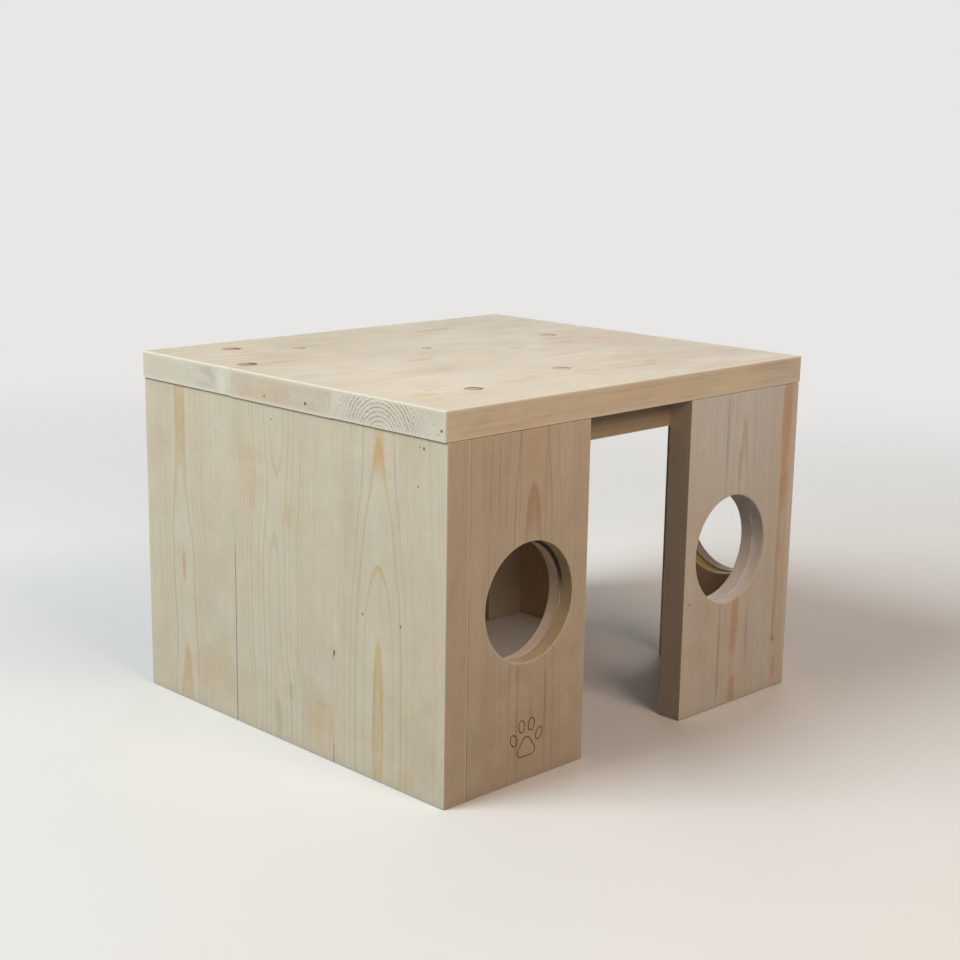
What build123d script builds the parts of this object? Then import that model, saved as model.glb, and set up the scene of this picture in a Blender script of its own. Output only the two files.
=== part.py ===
from build123d import *
import os

# Small animal house of planed softwood boards. It stands on the ground with its front towards -Y.
# The origin is on the ground, midway between the side walls and midway from front to back.
# The left wall and back wall are closed, the front and right wall have a doorway, and the roof lifts off.

os.makedirs("parts", exist_ok=True)

# ---- Driving dimensions, mm ----

# boards and doorways
board_thickness = 18.0
board_width = 100.0  # each board beside a doorway, but for the front left one
front_left_board_width = 102.0
front_doorway_width = 98.0
side_doorway_width = 100.0
wall_height = 218.8
boards_per_panel = 3  # closed walls and roof
arris = 0.4  # sanded free edges
touching = 0.01  # two places closer than this are the same place

# round windows, sawn half way from each face, so that the two half cuts miss each other a little
window_diameter = 75.0
window_height = 112.5  # centre above the ground
window_rim = 0.4
front_window_shift = {"left": (0.6, 0.5), "right": (-1.5, -1.2)}  # x, z, from the board's middle and that height
inner_cut_miss = {"left": (-2.0, -1.0), "right": (-1.9, 0.5), "side": (1.0, -0.8)}  # along the wall, up

# ring of rails inside the wall tops, and the rear corner posts
rail_size = 18.0
rail_height = 19.0
rail_rise = 0.2  # above the wall tops, which leaves a shadow line under the roof
post_size = 36.0
post_rail_gap = 0.5

# roof
roof_overhang = 1.5  # past the side walls
roof_proud_board = 0.3  # the middle board is this much thicker and rests on the rails
roof_corner_radius = 1.2
roof_top_radius = 1.0
batten_size = 18.0
batten_clearance = 1.0  # to the rails, all round

# dowels
dowel_diameter = 8.0
dowel_length = 30.0
dowel_face_depth = 12.0  # how deep it goes into the face of a board
dowel_chamfer = 0.6
dowel_fit = 0.05  # radial
dowel_end_gap = 0.5
seam_dowels = 3  # in each seam between two boards
zone_dowels = 2  # above, and again below, the height of the windows

# countersunk wood screws
screw_diameter = 4.0
screw_head_diameter = 8.0
screw_head_rim = 0.4
screw_tip_length = 5.0
screw_recess_length = 4.4
screw_recess_width = 1.2
screw_recess_depth = 1.8
screw_fit = 0.05  # radial
rail_screw_length = 30.0
post_screw_length = 50.0
screw_spacing = 40.0  # two in each board that a rail or batten crosses
post_screw_inset = 12.0  # from the room side of the post
post_screw_end = 40.0  # first screw from each end of the post
post_screw_stagger = 20.0  # so that screws from two sides pass each other

# paw mark engraved in the left front board
mark_height = 22.0  # centre of the pad above the ground
mark_line = 0.7
mark_depth = 0.3
pad_lobe_radius = 3.4
pad_top_radius = 4.2
pad_half_width = 4.6
pad_rise = 3.6
toe_width = 6.0
toe_length = 8.6
toe_places = [(-11.0, 5.5, 24.0), (-4.2, 13.0, 8.0), (4.2, 13.0, -8.0), (11.0, 5.5, -24.0)]  # x, z, lean

# ---- Derived places ----

inner_width = front_left_board_width + front_doorway_width + board_width
depth = 2 * board_width + side_doorway_width
wall_inside = inner_width / 2
wall_outside = wall_inside + board_thickness
front_outside = -depth / 2
front_inside = front_outside + board_thickness
back_outside = depth / 2
back_inside = back_outside - board_thickness
side_board_width = depth / boards_per_panel
back_board_width = inner_width / boards_per_panel

rail_top = wall_height + rail_rise
rail_bottom = rail_top - rail_height
rail_middle = rail_top - rail_height / 2
rail_inside = wall_inside - rail_size
side_rail_end = back_inside - rail_size
post_top = rail_bottom - post_rail_gap

roof_middle_thickness = board_thickness + roof_proud_board
roof_top = rail_top + roof_middle_thickness
roof_end = wall_outside + roof_overhang
batten_outside = rail_inside - batten_clearance
batten_middle = batten_outside - batten_size / 2
batten_end = side_rail_end - batten_clearance
batten_bottom = rail_top - batten_size

front_board_widths = {"left": front_left_board_width, "right": board_width}
side_board_middle = back_outside - board_width / 2
ways = (-1, 1)
front_board_middles = {
    place: way * (wall_inside - front_board_widths[place] / 2) for place, way in zip(("left", "right"), ways)
}
to_right = (1, 0, 0)
to_left = (-1, 0, 0)
to_back = (0, 1, 0)
to_front = (0, -1, 0)
down = (0, 0, -1)


def spread(low, high, count):
    """Even places strictly between two ends."""
    step = (high - low) / (count + 1)
    return [low + step * (place + 1) for place in range(count)]


def pair(middle):
    """Two places either side of a middle, one screw spacing apart."""
    return [middle + way * screw_spacing / 2 for way in ways]


def free_edges(board, seams=(), across="Y"):
    """Edges of an upright board, leaving out those where it meets a neighbour flush.

    The neighbours stand at the seams, along the axis that crosses them, and at the inner corners.
    """

    def flush(edge):
        middle = edge.center()
        in_seam = any(abs(getattr(middle, across) - seam) < touching for seam in seams)
        at_wall = abs(abs(middle.X) - wall_inside) < touching
        at_end = abs(abs(middle.Y) - depth / 2) < touching
        return in_seam or (at_wall and at_end)

    return [edge for edge in board.edges() if not flush(edge)]


# ---- Fasteners, each lying along its own Z, and the bores that take them ----


def screw_profile(length, gap):
    """Half outline of a countersunk screw from its head at the origin down to its tip."""
    head = screw_head_diameter / 2 + gap
    shank = screw_diameter / 2 + gap
    cone_end = -screw_head_rim - (head - shank)
    return [
        (0, 0),
        (head, 0),
        (head, -screw_head_rim),
        (shank, cone_end),
        (shank, screw_tip_length - length),
        (0, -length - gap),
    ]


def screw(length):
    """Countersunk screw with a cross recess, its head's face at the origin."""
    with BuildPart() as body:
        with BuildSketch(Plane.XZ):
            with BuildLine():
                Polyline(*screw_profile(length, 0), close=True)
            make_face()
        revolve(axis=Axis.Z)
        with BuildSketch():
            Rectangle(screw_recess_length, screw_recess_width)
            Rectangle(screw_recess_width, screw_recess_length)
        extrude(amount=-screw_recess_depth, mode=Mode.SUBTRACT)
    return body.part


def screw_bore(length):
    """Countersunk bore that takes a screw of this length."""
    with BuildPart() as bore:
        with BuildSketch(Plane.XZ):
            with BuildLine():
                Polyline(*screw_profile(length, screw_fit), close=True)
            make_face()
        revolve(axis=Axis.Z)
    return bore.part


def dowel():
    """Round dowel with chamfered ends, centred on the origin."""
    with BuildPart() as body:
        Cylinder(dowel_diameter / 2, dowel_length)
        chamfer(body.edges().filter_by(GeomType.CIRCLE), dowel_chamfer)
    return body.part


def dowel_bore():
    """Bore that takes a dowel, a little longer at each end."""
    with BuildPart() as bore:
        Cylinder(dowel_diameter / 2 + dowel_fit, dowel_length + 2 * dowel_end_gap)
    return bore.part


rail_screw = screw(rail_screw_length)
rail_screw_bore = screw_bore(rail_screw_length)
post_screw = screw(post_screw_length)
post_screw_bore = screw_bore(post_screw_length)
one_dowel = dowel()
one_dowel_bore = dowel_bore()

# ---- Where the fasteners sit ----

window_bottom = window_height - window_diameter / 2
window_top = window_height + window_diameter / 2
corner_heights = spread(0, window_bottom, zone_dowels) + spread(window_top, wall_height, zone_dowels)
seam_heights = spread(0, wall_height, seam_dowels)
corner_dowel_x = wall_inside - dowel_length / 2 + dowel_face_depth
wall_dowel_x = -wall_outside + board_thickness / 2
front_dowel_y = front_outside + board_thickness / 2
back_dowel_y = back_outside - board_thickness / 2
roof_dowel_z = roof_top - board_thickness / 2

corner_x = [way * corner_dowel_x for way in ways]
front_corner_dowels = [Plane((x, front_dowel_y, z), z_dir=to_right) for x in corner_x for z in corner_heights]
back_corner_dowels = [Plane((x, back_dowel_y, z), z_dir=to_right) for x in corner_x for z in corner_heights]
side_seams = [-depth / 2 + side_board_width * (seam + 1) for seam in range(boards_per_panel - 1)]
back_seams = [-inner_width / 2 + back_board_width * (seam + 1) for seam in range(boards_per_panel - 1)]
roof_dowel_x = spread(-roof_end, roof_end, seam_dowels)
left_seam_dowels = [Plane((wall_dowel_x, y, z), z_dir=to_back) for y in side_seams for z in seam_heights]
back_seam_dowels = [Plane((x, back_dowel_y, z), z_dir=to_right) for x in back_seams for z in seam_heights]
roof_seam_dowels = [Plane((x, y, roof_dowel_z), z_dir=to_back) for y in side_seams for x in roof_dowel_x]

# a rail or batten crosses each board of a panel over the stretch where both lie
panel_edges = [-depth / 2, *side_seams, depth / 2]
rail_crossings = [
    (max(low, -side_rail_end) + min(high, side_rail_end)) / 2
    for low, high in zip(panel_edges, panel_edges[1:])
]
doorway_crossings = [way * (side_rail_end + side_doorway_width / 2) / 2 for way in ways]
back_crossings = [x + back_board_width / 2 for x in [-inner_width / 2, *back_seams]]
front_crossings = list(front_board_middles.values())

front_rail_x = [x for middle in front_crossings for x in pair(middle)]
back_rail_x = [x for middle in back_crossings for x in pair(middle)]
left_rail_y = [y for middle in rail_crossings for y in pair(middle)]
right_rail_y = [y for middle in doorway_crossings for y in pair(middle)]
front_rail_seats = [Plane((x, -side_rail_end, rail_middle), z_dir=to_back) for x in front_rail_x]
back_rail_seats = [Plane((x, side_rail_end, rail_middle), z_dir=to_front) for x in back_rail_x]
left_rail_seats = [Plane((-rail_inside, y, rail_middle), z_dir=to_right) for y in left_rail_y]
right_rail_seats = [Plane((rail_inside, y, rail_middle), z_dir=to_left) for y in right_rail_y]
batten_seats = {
    way: [Plane((way * batten_middle, y, batten_bottom), z_dir=down) for y in left_rail_y] for way in ways
}

post_inside = wall_inside - post_size
post_front = back_inside - post_size
post_side_heights = [post_screw_end, post_top - post_screw_end]
post_back_heights = [z_end + post_screw_stagger * turn for z_end, turn in zip(post_side_heights, (1, -1))]
post_side_y = post_front + post_screw_inset
post_back_x = post_inside + post_screw_inset
post_seats = {
    way: [Plane((way * post_inside, post_side_y, z), z_dir=(-way, 0, 0)) for z in post_side_heights]
    + [Plane((way * post_back_x, post_front, z), z_dir=to_front) for z in post_back_heights]
    for way in ways
}

# ---- Cuts that belong to one board ----


def window_cut(face, miss):
    """Round window centred on a board's outer face, sawn half way from each side, rims eased."""
    half = board_thickness / 2
    inner_face = face.offset(-board_thickness)
    with BuildPart() as cut:
        with BuildSketch(face):
            Circle(window_diameter / 2)
        extrude(amount=-half)
        with BuildSketch(face):
            Circle(window_diameter / 2 + window_rim)
        extrude(amount=-window_rim, taper=45)
        with BuildSketch(inner_face):
            with Locations(miss):
                Circle(window_diameter / 2)
        extrude(amount=half)
        with BuildSketch(inner_face):
            with Locations(miss):
                Circle(window_diameter / 2 + window_rim)
        extrude(amount=window_rim, taper=45)
    return cut.part


def paw_mark(face):
    """Outlines of a pad and four toes, as deep as they are engraved, with the pad at the face's origin."""
    with BuildPart() as mark:
        with BuildSketch(face):
            with Locations((-pad_half_width, -pad_rise), (pad_half_width, -pad_rise)):
                Circle(pad_lobe_radius)
            with Locations((0, pad_rise / 2)):
                Circle(pad_top_radius)
            make_hull()
            offset(amount=-mark_line, mode=Mode.SUBTRACT)
        extrude(amount=-mark_depth)
        for toe_x, toe_z, lean in toe_places:
            with BuildSketch(face):
                with Locations(Location((toe_x, toe_z), lean)):
                    Ellipse(toe_width / 2, toe_length / 2)
                    Ellipse(toe_width / 2 - mark_line, toe_length / 2 - mark_line, mode=Mode.SUBTRACT)
            extrude(amount=-mark_depth)
    return mark.part


# ---- Left wall: three upright boards, full depth ----

for place, y in zip(("front", "middle", "back"), panel_edges):
    with BuildPart() as left_wall_board:
        with BuildSketch():
            with Locations((-wall_outside + board_thickness / 2, y + side_board_width / 2)):
                Rectangle(board_thickness, side_board_width)
        extrude(amount=wall_height)
        fillet(free_edges(left_wall_board, side_seams), arris)
        with Locations(*left_seam_dowels, *front_corner_dowels, *back_corner_dowels):
            add(one_dowel_bore, mode=Mode.SUBTRACT)
        with Locations(*left_rail_seats):
            add(rail_screw_bore, mode=Mode.SUBTRACT)
        with Locations(*post_seats[-1]):
            add(post_screw_bore, mode=Mode.SUBTRACT)
    left_wall_board.part.label = f"left_wall_board_{place}"
    export_step(left_wall_board.part, f"parts/left_wall_board_{place}.step")

# ---- Back wall: three upright boards between the side walls ----

for place, x in zip(("left", "middle", "right"), [-inner_width / 2, *back_seams]):
    with BuildPart() as back_wall_board:
        with BuildSketch():
            with Locations((x + back_board_width / 2, back_outside - board_thickness / 2)):
                Rectangle(back_board_width, board_thickness)
        extrude(amount=wall_height)
        fillet(free_edges(back_wall_board, back_seams, across="X"), arris)
        with Locations(*back_seam_dowels, *back_corner_dowels):
            add(one_dowel_bore, mode=Mode.SUBTRACT)
        with Locations(*back_rail_seats):
            add(rail_screw_bore, mode=Mode.SUBTRACT)
        with Locations(*post_seats[-1], *post_seats[1]):
            add(post_screw_bore, mode=Mode.SUBTRACT)
    back_wall_board.part.label = f"back_wall_board_{place}"
    export_step(back_wall_board.part, f"parts/back_wall_board_{place}.step")

# ---- Right wall: a board with a window, the side doorway, and a plain board ----

for place, way in zip(("front", "back"), ways):
    with BuildPart() as right_wall_board:
        with BuildSketch():
            with Locations((wall_outside - board_thickness / 2, way * side_board_middle)):
                Rectangle(board_thickness, board_width)
        extrude(amount=wall_height)
        fillet(free_edges(right_wall_board), arris)
        if place == "front":
            window_centre = (wall_outside, -side_board_middle, window_height)
            side_window = window_cut(Plane(window_centre, x_dir=to_back, z_dir=to_right), inner_cut_miss["side"])
            add(side_window, mode=Mode.SUBTRACT)
        with Locations(*front_corner_dowels, *back_corner_dowels):
            add(one_dowel_bore, mode=Mode.SUBTRACT)
        with Locations(*right_rail_seats):
            add(rail_screw_bore, mode=Mode.SUBTRACT)
        with Locations(*post_seats[1]):
            add(post_screw_bore, mode=Mode.SUBTRACT)
    right_wall_board.part.label = f"right_wall_board_{place}"
    export_step(right_wall_board.part, f"parts/right_wall_board_{place}.step")

# ---- Front: two boards with a window each, between the side walls; the left one has the paw mark ----

for place, board_middle in front_board_middles.items():
    shift_along, shift_up = front_window_shift[place]
    window_x = board_middle + shift_along
    with BuildPart() as front_board:
        with BuildSketch():
            with Locations((board_middle, front_outside + board_thickness / 2)):
                Rectangle(front_board_widths[place], board_thickness)
        extrude(amount=wall_height)
        fillet(free_edges(front_board), arris)
        window_centre = (window_x, front_outside, window_height + shift_up)
        front_window = window_cut(Plane(window_centre, x_dir=to_right, z_dir=to_front), inner_cut_miss[place])
        add(front_window, mode=Mode.SUBTRACT)
        if place == "left":
            mark_centre = (board_middle, front_outside, mark_height)
            add(paw_mark(Plane(mark_centre, x_dir=to_right, z_dir=to_front)), mode=Mode.SUBTRACT)
        with Locations(*front_corner_dowels):
            add(one_dowel_bore, mode=Mode.SUBTRACT)
        with Locations(*front_rail_seats):
            add(rail_screw_bore, mode=Mode.SUBTRACT)
    front_board.part.label = f"front_board_{place}"
    export_step(front_board.part, f"parts/front_board_{place}.step")

# ---- Rails: front and back span the room, the side rails fit between them ----

for place, way, seats in (("front", -1, front_rail_seats), ("back", 1, back_rail_seats)):
    with BuildPart() as cross_rail:
        with BuildSketch(Plane.XY.offset(rail_bottom)):
            with Locations((0, way * (back_inside - rail_size / 2))):
                Rectangle(inner_width, rail_size)
        extrude(amount=rail_height)
        fillet(cross_rail.edges(), arris)
        with Locations(*seats):
            add(rail_screw_bore, mode=Mode.SUBTRACT)
    cross_rail.part.label = f"{place}_rail"
    export_step(cross_rail.part, f"parts/{place}_rail.step")

for place, way, seats in (("left", -1, left_rail_seats), ("right", 1, right_rail_seats)):
    with BuildPart() as side_rail:
        with BuildSketch(Plane.XY.offset(rail_bottom)):
            with Locations((way * (wall_inside - rail_size / 2), 0)):
                Rectangle(rail_size, 2 * side_rail_end)
        extrude(amount=rail_height)
        fillet(side_rail.edges(), arris)
        with Locations(*seats):
            add(rail_screw_bore, mode=Mode.SUBTRACT)
    side_rail.part.label = f"{place}_rail"
    export_step(side_rail.part, f"parts/{place}_rail.step")

# ---- Rear corner posts, from the ground to just under the rails ----

for place, way in zip(("left", "right"), ways):
    with BuildPart() as rear_post:
        with BuildSketch():
            with Locations((way * (post_inside + post_size / 2), post_front + post_size / 2)):
                Rectangle(post_size, post_size)
        extrude(amount=post_top)
        fillet(rear_post.edges(), arris)
        with Locations(*post_seats[way]):
            add(post_screw_bore, mode=Mode.SUBTRACT)
    rear_post.part.label = f"rear_{place}_post"
    export_step(rear_post.part, f"parts/rear_{place}_post.step")

# ---- Roof: three boards with their tops level, the middle one thickest, and two battens below ----


def in_roof_seam(edge):
    """True for an edge where two roof boards meet."""
    return any(abs(edge.center().Y - seam) < touching for seam in side_seams)


for place, y in zip(("front", "middle", "back"), panel_edges):
    thickness = roof_middle_thickness if place == "middle" else board_thickness
    with BuildPart() as roof_board:
        with BuildSketch(Plane.XY.offset(roof_top - thickness)):
            with Locations((0, y + side_board_width / 2)):
                Rectangle(2 * roof_end, side_board_width)
        extrude(amount=thickness)
        uprights = roof_board.edges().filter_by(Axis.Z)
        outer_corners = [edge for edge in uprights if abs(abs(edge.center().Y) - depth / 2) < touching]
        if outer_corners:
            fillet(outer_corners, roof_corner_radius)
        rim = roof_board.faces().sort_by(Axis.Z)[-1].edges()
        fillet([edge for edge in rim if not in_roof_seam(edge)], roof_top_radius)
        with Locations(*roof_seam_dowels):
            add(one_dowel_bore, mode=Mode.SUBTRACT)
        with Locations(*batten_seats[-1], *batten_seats[1]):
            add(rail_screw_bore, mode=Mode.SUBTRACT)
    roof_board.part.label = f"roof_board_{place}"
    export_step(roof_board.part, f"parts/roof_board_{place}.step")

for place, way in zip(("left", "right"), ways):
    with BuildPart() as roof_batten:
        with BuildSketch(Plane.XY.offset(batten_bottom)):
            with Locations((way * batten_middle, 0)):
                Rectangle(batten_size, 2 * batten_end)
        extrude(amount=batten_size)
        fillet(roof_batten.edges(), arris)
        with Locations(*batten_seats[way]):
            add(rail_screw_bore, mode=Mode.SUBTRACT)
    roof_batten.part.label = f"roof_batten_{place}"
    export_step(roof_batten.part, f"parts/roof_batten_{place}.step")

# ---- Dowels and screws, each joint's set together ----

dowel_sets = {
    "front_corner_dowels": front_corner_dowels,
    "back_corner_dowels": back_corner_dowels,
    "left_wall_seam_dowels": left_seam_dowels,
    "back_wall_seam_dowels": back_seam_dowels,
    "roof_seam_dowels": roof_seam_dowels,
}
for name, places in dowel_sets.items():
    with BuildPart() as dowels:
        with Locations(*places):
            add(one_dowel)
    dowels.part.label = name
    export_step(dowels.part, f"parts/{name}.step")

screw_sets = {
    "front_rail_screws": (rail_screw, front_rail_seats),
    "back_rail_screws": (rail_screw, back_rail_seats),
    "left_rail_screws": (rail_screw, left_rail_seats),
    "right_rail_screws": (rail_screw, right_rail_seats),
    "rear_left_post_screws": (post_screw, post_seats[-1]),
    "rear_right_post_screws": (post_screw, post_seats[1]),
    "left_batten_screws": (rail_screw, batten_seats[-1]),
    "right_batten_screws": (rail_screw, batten_seats[1]),
}
for name, (one_screw, seats) in screw_sets.items():
    with BuildPart() as screws:
        with Locations(*seats):
            add(one_screw)
    screws.part.label = name
    export_step(screws.part, f"parts/{name}.step")
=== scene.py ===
"""Looks of a low wooden house for small animals: raw softwood boards and a loose, flat roof.

Every board is shaded as a piece cut from a log. Its growth rings are cylinders around a heart line that runs
along the board, so one formula gives arches on the faces, straight lines beside them and arcs on the ends.
Places on the boards are millimetres in the house's frame: x to the right, y to the back, z up.
"""

import math

import bpy
from mathutils import Matrix, Vector


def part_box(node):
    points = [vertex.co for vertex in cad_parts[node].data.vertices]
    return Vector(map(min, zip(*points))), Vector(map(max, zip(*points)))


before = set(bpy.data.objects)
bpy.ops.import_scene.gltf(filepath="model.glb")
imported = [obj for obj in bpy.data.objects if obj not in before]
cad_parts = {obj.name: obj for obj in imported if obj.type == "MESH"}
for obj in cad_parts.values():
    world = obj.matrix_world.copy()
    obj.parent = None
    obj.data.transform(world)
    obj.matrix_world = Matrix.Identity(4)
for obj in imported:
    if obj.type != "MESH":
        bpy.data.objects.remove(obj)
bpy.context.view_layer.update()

MM = 1000.0
X, Y, Z = 0, 1, 2

# Linear colours of raw softwood under a white light.
CREAM = (0.70, 0.62, 0.475, 1)
ROSE = (0.695, 0.575, 0.43, 1)
LATE_WOOD = (0.645, 0.51, 0.30, 1)
LATE_GREY = (0.58, 0.465, 0.30, 1)
END_CREAM = (0.82, 0.745, 0.605, 1)
END_LATE = (0.40, 0.31, 0.20, 1)
# Pale torn fibres on end grain, and the painted highlights beside its arcs.
PALE_FIBRE_AND_HIGHLIGHT = (0.92, 0.87, 0.76, 1)
KNOT_WOOD = (0.47, 0.335, 0.225, 1)
KNOT_HALO = (0.62, 0.49, 0.36, 1)
BARK = (0.07, 0.042, 0.026, 1)
# Dark of the step in the windows: burnt wood and painted shade.
SCORCH_AND_SHADE = (0.045, 0.025, 0.014, 1)
BURNT = (0.085, 0.042, 0.02, 1)
GAP_SHADE = (0.06, 0.045, 0.03, 1)
# The rubbed arris is also painted as a highlight, where the rounded edges catch light.
RUBBED_AND_HIGHLIGHT_GAIN = 1.10  # a rubbed arris is this much paler than clear wood
CHIPPED_GAIN = 1.15

# Tints that a colour is multiplied by.
TAN = (0.93, 0.84, 0.68, 1)
PINK = (1.0, 0.89, 0.83, 1)
ORANGE = (1.0, 0.78, 0.55, 1)
GREY = (0.86, 0.86, 0.87, 1)
OLIVE = (0.88, 0.88, 0.72, 1)
PALE = (1.10, 1.11, 1.14, 1)
DOT = (0.16, 0.11, 0.08, 1)
COOL = (0.975, 1.0, 1.06, 1)
WARM = (1.02, 0.98, 0.905, 1)
RUST = (0.93, 0.76, 0.65, 1)
# Painted shade, on the right of the roof's top.
PAINTED_SHADE = (0.91, 0.905, 0.91, 1)
LINE = (0.80, 0.75, 0.68, 1)
DUSK = (0.895, 0.825, 0.745, 1)
# Painted light: the room side of the boards is paler and warmer, standing for light that comes in through the
# openings.
ROOM_SIDE_PAINTED_LIGHT = (1.19, 1.07, 0.97, 1)
WHITE = (1.0, 1.0, 1.0, 1)

# Sizes of noises, per millimetre. Where there are two, they are across the grain and along it.
FIBRES = (2.4, 0.035)
CANALS = (1.6, 0.13)
STREAKS = (0.42, 0.008)
RIPPLES = (0.22, 0.02)
WAVES = (0.045, 0.006)
PATCHES = (0.03, 0.009)
DRIFT = 0.011
PORES = 1.5
TORN = 0.42
RAGGED = 0.20
FLECKS = 0.62
RAISED = 0.9
CHIPS = 0.7
FLUSH = 0.025

# Shares of a ring: where late wood is darkest, and where it starts to end.
DARKEST, ENDING = 0.93, 0.955
RAW_ROUGHNESS = 0.62

# Millimetres.
WINDOW_RIM = 37.5
WINDOW_REACH = 41.0  # the inner half cut, a little off centre, lies within this too
THICKNESS = 18.0
BOARD_HALF = THICKNESS / 2
DARKER_BELOW = 6.0
MARK_MIDDLE = -99.0
MARK_HALF_WIDTH = 18.0
MARK_LOW, MARK_HIGH = 10.0, 45.0
ARC_FADES, ARC_GONE = 22.0, 44.0  # from the heart line, on the end grain
KNOT_SWELL = 2.0  # how far a knot pushes the rings out
AGEING = [(0, 0), (25, 25), (60, 71), (120, 167)]  # from the heart, and where as many even rings would end


class Socket:
    """One output of a shader node. Arithmetic on it adds Math nodes to the same tree."""

    def __init__(self, shader, output):
        self.shader = shader
        self.output = output

    def math(self, operation, *others):
        return self.shader.node("Math", {"operation": operation}, dict(enumerate((self, *others))))

    def __add__(self, other):
        return self.math("ADD", other)

    __radd__ = __add__

    def __sub__(self, other):
        return self.math("SUBTRACT", other)

    def __rsub__(self, other):
        return self.shader.node("Math", {"operation": "SUBTRACT"}, {0: other, 1: self})

    def __mul__(self, other):
        return self.math("MULTIPLY", other)

    __rmul__ = __mul__

    def __truediv__(self, other):
        return self.math("DIVIDE", other)

    def __abs__(self):
        return self.math("ABSOLUTE")

    def __pow__(self, other):
        return self.math("POWER", other)


class Shader:
    """A node tree, with one method that adds any node and a few that add the usual ones."""

    def __init__(self, owner):
        owner.use_nodes = True
        self.tree = owner.node_tree
        self.tree.nodes.clear()

    def node(self, kind, settings=None, inputs=None, output=0):
        """Adds one node: its settings, then a value or a link for each socket. Returns one output."""
        new = self.tree.nodes.new("ShaderNode" + kind)
        for key, value in (settings or {}).items():
            if key == "points":
                line = new.mapping.curves[0].points
                line[0].location = value[0]
                line[1].location = value[-1]
                for place in value[1:-1]:
                    line.new(*place)
                new.mapping.update()
            else:
                setattr(new, key, value)
        for key, value in (inputs or {}).items():
            if isinstance(value, Socket):
                self.tree.links.new(value.output, new.inputs[key])
            else:
                new.inputs[key].default_value = value
        return Socket(self, new.outputs[output]) if new.outputs else None

    def object_place(self):
        """The place on the piece, in metres."""
        return self.node("TexCoord", output="Object")

    def place_in_mm(self):
        return self.dim(self.object_place(), MM)

    def split(self, vector):
        """The x, y and z of a vector."""
        return [self.node("SeparateXYZ", None, {0: vector}, output=axis) for axis in (X, Y, Z)]

    def vector(self, x, y, z):
        return self.node("CombineXYZ", None, {0: x, 1: y, 2: z})

    def length(self, vector):
        return self.node("VectorMath", {"operation": "LENGTH"}, {0: vector}, output="Value")

    def step(self, value, low, high):
        """Rises smoothly from 0 at low to 1 at high, or falls from 1 to 0 where high is the smaller one."""
        return self.node("MapRange", {"interpolation_type": "SMOOTHSTEP"}, {0: value, 1: low, 2: high})

    def fade(self, value, low, high):
        """Falls smoothly from 1 at low to 0 at high."""
        return 1.0 - self.step(value, low, high)

    def noise(self, place, scale=1.0, detail=2.0, roughness=0.5):
        return self.node("TexNoise", None,
                         {"Vector": place, "Scale": scale, "Detail": detail, "Roughness": roughness})

    def mix(self, share, first, second):
        """A colour between two, by share."""
        return self.node("Mix", {"data_type": "RGBA"}, {0: share, 6: first, 7: second}, output=2)

    def dim(self, colour, factor):
        """A colour, or another vector, times a number."""
        return self.node("VectorMath", {"operation": "SCALE"}, {0: colour, "Scale": factor})

    def tint(self, share, colour, by):
        """A colour multiplied by another, by share."""
        return self.node("Mix", {"data_type": "RGBA", "blend_type": "MULTIPLY"}, {0: share, 6: colour, 7: by},
                         output=2)

    def away(self, place, centre, reach):
        """Distance from a centre, counted in its own reach along each axis: 1 on the ellipsoid's skin."""
        off = self.node("VectorMath", {"operation": "SUBTRACT"}, {0: place, 1: centre})
        return self.length(self.node("VectorMath", {"operation": "DIVIDE"}, {0: off, 1: reach}))

    def curve(self, value, points):
        """A smooth line through (value, result) points."""
        starts = [point[0] for point in points]
        results = [point[1] for point in points]
        low = min(results)
        span = max(max(results) - low, 1e-6)
        width = starts[-1] - starts[0]
        placed = [((start - starts[0]) / width, (result - low) / span) for start, result in points]
        share = self.node("FloatCurve", {"points": placed}, {"Value": (value - starts[0]) / width})
        return share * span + low

    def bump(self, strength, distance, height):
        return self.node("Bump", None, {"Strength": strength, "Distance": distance, "Height": height})

    def principled(self, inputs):
        """Ends the tree in one Principled shader."""
        self.node("OutputMaterial", None, {"Surface": self.node("BsdfPrincipled", None, inputs)})


def times(colour, factor):
    """A written colour times a number."""
    return (colour[0] * factor, colour[1] * factor, colour[2] * factor, 1)


def growth(width):
    """Ring numbers by distance from the heart line: rings of this width at first, then narrower ones."""
    return [(distance, at_even_width / width) for distance, at_even_width in AGEING]


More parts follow.
